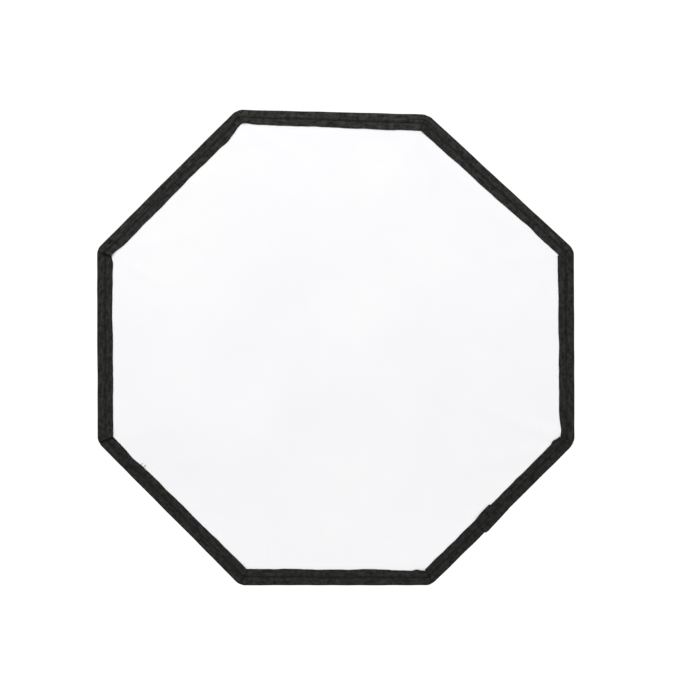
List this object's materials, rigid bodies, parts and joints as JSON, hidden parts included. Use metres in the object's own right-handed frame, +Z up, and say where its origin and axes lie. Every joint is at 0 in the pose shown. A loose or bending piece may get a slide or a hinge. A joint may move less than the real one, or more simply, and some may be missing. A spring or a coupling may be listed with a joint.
{
  "type": "octabox",
  "caption": "Folding eight-sided softbox: a bayonet speed ring, hinged ribs, a pleating black shell, an inner baffle and a white front cloth with a black taped edge.",
  "frame": {"origin": "centre of the light-mount bore, in the plane where the light's front face seats", "axes": "+Z up, +Y along the optical axis towards the light, -Y out through the front cloth"},
  "size_m": [0.6, 0.2656, 0.6],
  "materials": {
    "adapter_aluminium": "machined and satin anodised",
    "ring_metal": "black powder coat",
    "bracket_steel": "zinc plated",
    "screw_steel": "bright zinc",
    "spring_steel": "blued spring steel",
    "rod_steel": "black coated spring rod",
    "moulded_plastic": "moulded, fine grain",
    "shell_fabric": "coated black nylon outside, silver inside",
    "skirt_fabric": "woven black nylon",
    "white_cloth": "white translucent nylon",
    "binding_tape": "woven black tape",
    "elastic_strap": "ribbed black elastic",
    "hook_tape": "black hook tape"
  },
  "bodies": {
    "light_adapter": {"bayonet_adapter": "adapter_aluminium"},
    "speed_ring": {"speed_ring": "ring_metal", "rib_brackets": "bracket_steel", "bracket_screws": "screw_steel", "hinge_pins": "screw_steel", "detent_springs": "spring_steel", "neck_skirt": "skirt_fabric"},
    "rib_1": {"rib_1_heel": "moulded_plastic", "rib_1_rod": "rod_steel", "rib_1_tip": "moulded_plastic"},
    "panel_1a": {"shell_panel_1a": "shell_fabric"},
    "panel_1b": {"shell_panel_1b": "shell_fabric"},
    "rib_2": {"rib_2_heel": "moulded_plastic", "rib_2_rod": "rod_steel", "rib_2_tip": "moulded_plastic"},
    "panel_2a": {"shell_panel_2a": "shell_fabric"},
    "panel_2b": {"shell_panel_2b": "shell_fabric"},
    "rib_3": {"rib_3_heel": "moulded_plastic", "rib_3_rod": "rod_steel", "rib_3_tip": "moulded_plastic"},
    "panel_3a": {"shell_panel_3a": "shell_fabric"},
    "panel_3b": {"shell_panel_3b": "shell_fabric"},
    "rib_4": {"rib_4_heel": "moulded_plastic", "rib_4_rod": "rod_steel", "rib_4_tip": "moulded_plastic"},
    "panel_4a": {"shell_panel_4a": "shell_fabric"},
    "panel_4b": {"shell_panel_4b": "shell_fabric"},
    "rib_5": {"rib_5_heel": "moulded_plastic", "rib_5_rod": "rod_steel", "rib_5_tip": "moulded_plastic"},
    "panel_5a": {"shell_panel_5a": "shell_fabric"},
    "panel_5b": {"shell_panel_5b": "shell_fabric"},
    "rib_6": {"rib_6_heel": "moulded_plastic", "rib_6_rod": "rod_steel", "rib_6_tip": "moulded_plastic"},
    "panel_6a": {"shell_panel_6a": "shell_fabric"},
    "panel_6b": {"shell_panel_6b": "shell_fabric"},
    "rib_7": {"rib_7_heel": "moulded_plastic", "rib_7_rod": "rod_steel", "rib_7_tip": "moulded_plastic"},
    "panel_7a": {"shell_panel_7a": "shell_fabric"},
    "panel_7b": {"shell_panel_7b": "shell_fabric"},
    "rib_8": {"rib_8_heel": "moulded_plastic", "rib_8_rod": "rod_steel", "rib_8_tip": "moulded_plastic"},
    "panel_8a": {"shell_panel_8a": "shell_fabric"},
    "panel_8b": {"shell_panel_8b": "shell_fabric"},
    "inner_baffle": {"baffle_cloth": "white_cloth", "baffle_binding": "binding_tape", "baffle_straps": "elastic_strap"},
    "front_diffuser": {"diffuser_cloth": "white_cloth", "diffuser_border": "binding_tape", "diffuser_hook_tape": "hook_tape"},
    "clamp_screw_1": {"clamp_screw_1": "screw_steel", "clamp_knob_1": "moulded_plastic"},
    "clamp_screw_2": {"clamp_screw_2": "screw_steel", "clamp_knob_2": "moulded_plastic"},
    "clamp_screw_3": {"clamp_screw_3": "screw_steel", "clamp_knob_3": "moulded_plastic"}
  },
  "joints": [
    {"name": "ring_spin", "type": "hinge", "parent": "light_adapter", "child": "speed_ring", "pos_m": [0, 0, 0], "axis": [0, 1, 0], "continuous": true},
    {"name": "rib_1_fold", "type": "hinge", "parent": "speed_ring", "child": "rib_1", "pos_m": [0.085, -0.01, 0.03521], "axis": [0.3827, 0, -0.9239], "range_deg": [0, 41]},
    {"name": "panel_1a_pleat", "type": "hinge", "parent": "rib_1", "child": "panel_1a", "pos_m": [0.10872, -0.01929, 0.04503], "axis": [0.6247, -0.7367, 0.2588], "range_deg": [0, 66], "deforming": ["shell_panel_1a"]},
    {"name": "panel_1b_pleat", "type": "hinge", "parent": "rib_1", "child": "panel_1b", "pos_m": [0.10872, -0.01929, 0.04503], "axis": [-0.6247, 0.7367, -0.2588], "range_deg": [0, 66], "deforming": ["shell_panel_1b"]},
    {"name": "rib_2_fold", "type": "hinge", "parent": "speed_ring", "child": "rib_2", "pos_m": [0.03521, -0.01, 0.085], "axis": [0.9239, 0, -0.3827], "range_deg": [0, 41]},
    {"name": "panel_2a_pleat", "type": "hinge", "parent": "rib_2", "child": "panel_2a", "pos_m": [0.04503, -0.01929, 0.10872], "axis": [0.2588, -0.7367, 0.6247], "range_deg": [0, 66], "deforming": ["shell_panel_2a"]},
    {"name": "panel_2b_pleat", "type": "hinge", "parent": "rib_2", "child": "panel_2b", "pos_m": [0.04503, -0.01929, 0.10872], "axis": [-0.2588, 0.7367, -0.6247], "range_deg": [0, 66], "deforming": ["shell_panel_2b"]},
    {"name": "rib_3_fold", "type": "hinge", "parent": "speed_ring", "child": "rib_3", "pos_m": [-0.03521, -0.01, 0.085], "axis": [0.9239, 0, 0.3827], "range_deg": [0, 41]},
    {"name": "panel_3a_pleat", "type": "hinge", "parent": "rib_3", "child": "panel_3a", "pos_m": [-0.04503, -0.01929, 0.10872], "axis": [-0.2588, -0.7367, 0.6247], "range_deg": [0, 66], "deforming": ["shell_panel_3a"]},
    {"name": "panel_3b_pleat", "type": "hinge", "parent": "rib_3", "child": "panel_3b", "pos_m": [-0.04503, -0.01929, 0.10872], "axis": [0.2588, 0.7367, -0.6247], "range_deg": [0, 66], "deforming": ["shell_panel_3b"]},
    {"name": "rib_4_fold", "type": "hinge", "parent": "speed_ring", "child": "rib_4", "pos_m": [-0.085, -0.01, 0.03521], "axis": [0.3827, 0, 0.9239], "range_deg": [0, 41]},
    {"name": "panel_4a_pleat", "type": "hinge", "parent": "rib_4", "child": "panel_4a", "pos_m": [-0.10872, -0.01929, 0.04503], "axis": [-0.6247, -0.7367, 0.2588], "range_deg": [0, 66], "deforming": ["shell_panel_4a"]},
    {"name": "panel_4b_pleat", "type": "hinge", "parent": "rib_4", "child": "panel_4b", "pos_m": [-0.10872, -0.01929, 0.04503], "axis": [0.6247, 0.7367, -0.2588], "range_deg": [0, 66], "deforming": ["shell_panel_4b"]},
    {"name": "rib_5_fold", "type": "hinge", "parent": "speed_ring", "child": "rib_5", "pos_m": [-0.085, -0.01, -0.03521], "axis": [-0.3827, 0, 0.9239], "range_deg": [0, 41]},
    {"name": "panel_5a_pleat", "type": "hinge", "parent": "rib_5", "child": "panel_5a", "pos_m": [-0.10872, -0.01929, -0.04503], "axis": [-0.6247, -0.7367, -0.2588], "range_deg": [0, 66], "deforming": ["shell_panel_5a"]},
    {"name": "panel_5b_pleat", "type": "hinge", "parent": "rib_5", "child": "panel_5b", "pos_m": [-0.10872, -0.01929, -0.04503], "axis": [0.6247, 0.7367, 0.2588], "range_deg": [0, 66], "deforming": ["shell_panel_5b"]},
    {"name": "rib_6_fold", "type": "hinge", "parent": "speed_ring", "child": "rib_6", "pos_m": [-0.03521, -0.01, -0.085], "axis": [-0.9239, 0, 0.3827], "range_deg": [0, 41]},
    {"name": "panel_6a_pleat", "type": "hinge", "parent": "rib_6", "child": "panel_6a", "pos_m": [-0.04503, -0.01929, -0.10872], "axis": [-0.2588, -0.7367, -0.6247], "range_deg": [0, 66], "deforming": ["shell_panel_6a"]},
    {"name": "panel_6b_pleat", "type": "hinge", "parent": "rib_6", "child": "panel_6b", "pos_m": [-0.04503, -0.01929, -0.10872], "axis": [0.2588, 0.7367, 0.6247], "range_deg": [0, 66], "deforming": ["shell_panel_6b"]},
    {"name": "rib_7_fold", "type": "hinge", "parent": "speed_ring", "child": "rib_7", "pos_m": [0.03521, -0.01, -0.085], "axis": [-0.9239, 0, -0.3827], "range_deg": [0, 41]},
    {"name": "panel_7a_pleat", "type": "hinge", "parent": "rib_7", "child": "panel_7a", "pos_m": [0.04503, -0.01929, -0.10872], "axis": [0.2588, -0.7367, -0.6247], "range_deg": [0, 66], "deforming": ["shell_panel_7a"]},
    {"name": "panel_7b_pleat", "type": "hinge", "parent": "rib_7", "child": "panel_7b", "pos_m": [0.04503, -0.01929, -0.10872], "axis": [-0.2588, 0.7367, 0.6247], "range_deg": [0, 66], "deforming": ["shell_panel_7b"]},
    {"name": "rib_8_fold", "type": "hinge", "parent": "speed_ring", "child": "rib_8", "pos_m": [0.085, -0.01, -0.03521], "axis": [-0.3827, 0, -0.9239], "range_deg": [0, 41]},
    {"name": "panel_8a_pleat", "type": "hinge", "parent": "rib_8", "child": "panel_8a", "pos_m": [0.10872, -0.01929, -0.04503], "axis": [0.6247, -0.7367, -0.2588], "range_deg": [0, 66], "deforming": ["shell_panel_8a"]},
    {"name": "panel_8b_pleat", "type": "hinge", "parent": "rib_8", "child": "panel_8b", "pos_m": [0.10872, -0.01929, -0.04503], "axis": [-0.6247, 0.7367, 0.2588], "range_deg": [0, 66], "deforming": ["shell_panel_8b"]},
    {"name": "baffle_out", "type": "slide", "parent": "speed_ring", "child": "inner_baffle", "axis": [0, -1, 0], "range_m": [0, 0.325]},
    {"name": "diffuser_out", "type": "slide", "parent": "inner_baffle", "child": "front_diffuser", "axis": [0, -1, 0], "range_m": [0, 0.15]},
    {"name": "clamp_screw_1_turn", "type": "hinge", "parent": "speed_ring", "child": "clamp_screw_1", "pos_m": [0, -0.006, 0.09], "axis": [0, 0, 1], "range_deg": [0, 720]},
    {"name": "clamp_screw_2_turn", "type": "hinge", "parent": "speed_ring", "child": "clamp_screw_2", "pos_m": [-0.06364, -0.006, -0.06364], "axis": [-0.7071, 0, -0.7071], "range_deg": [0, 720]},
    {"name": "clamp_screw_3_turn", "type": "hinge", "parent": "speed_ring", "child": "clamp_screw_3", "pos_m": [0.06364, -0.006, -0.06364], "axis": [0.7071, 0, -0.7071], "range_deg": [0, 720]}
  ],
  "couplings": [
    {"joint": "panel_1a_pleat", "follows": "rib_1_fold", "ratio": 1.5944},
    {"joint": "panel_1b_pleat", "follows": "rib_1_fold", "ratio": 1.5944},
    {"joint": "rib_2_fold", "follows": "rib_1_fold", "ratio": 1},
    {"joint": "panel_2a_pleat", "follows": "rib_1_fold", "ratio": 1.5944},
    {"joint": "panel_2b_pleat", "follows": "rib_1_fold", "ratio": 1.5944},
    {"joint": "rib_3_fold", "follows": "rib_1_fold", "ratio": 1},
    {"joint": "panel_3a_pleat", "follows": "rib_1_fold", "ratio": 1.5944},
    {"joint": "panel_3b_pleat", "follows": "rib_1_fold", "ratio": 1.5944},
    {"joint": "rib_4_fold", "follows": "rib_1_fold", "ratio": 1},
    {"joint": "panel_4a_pleat", "follows": "rib_1_fold", "ratio": 1.5944},
    {"joint": "panel_4b_pleat", "follows": "rib_1_fold", "ratio": 1.5944},
    {"joint": "rib_5_fold", "follows": "rib_1_fold", "ratio": 1},
    {"joint": "panel_5a_pleat", "follows": "rib_1_fold", "ratio": 1.5944},
    {"joint": "panel_5b_pleat", "follows": "rib_1_fold", "ratio": 1.5944},
    {"joint": "rib_6_fold", "follows": "rib_1_fold", "ratio": 1},
    {"joint": "panel_6a_pleat", "follows": "rib_1_fold", "ratio": 1.5944},
    {"joint": "panel_6b_pleat", "follows": "rib_1_fold", "ratio": 1.5944},
    {"joint": "rib_7_fold", "follows": "rib_1_fold", "ratio": 1},
    {"joint": "panel_7a_pleat", "follows": "rib_1_fold", "ratio": 1.5944},
    {"joint": "panel_7b_pleat", "follows": "rib_1_fold", "ratio": 1.5944},
    {"joint": "rib_8_fold", "follows": "rib_1_fold", "ratio": 1},
    {"joint": "panel_8a_pleat", "follows": "rib_1_fold", "ratio": 1.5944},
    {"joint": "panel_8b_pleat", "follows": "rib_1_fold", "ratio": 1.5944},
    {"joint": "baffle_out", "follows": "rib_1_fold", "m_per_rad": 0.45}
  ]
}
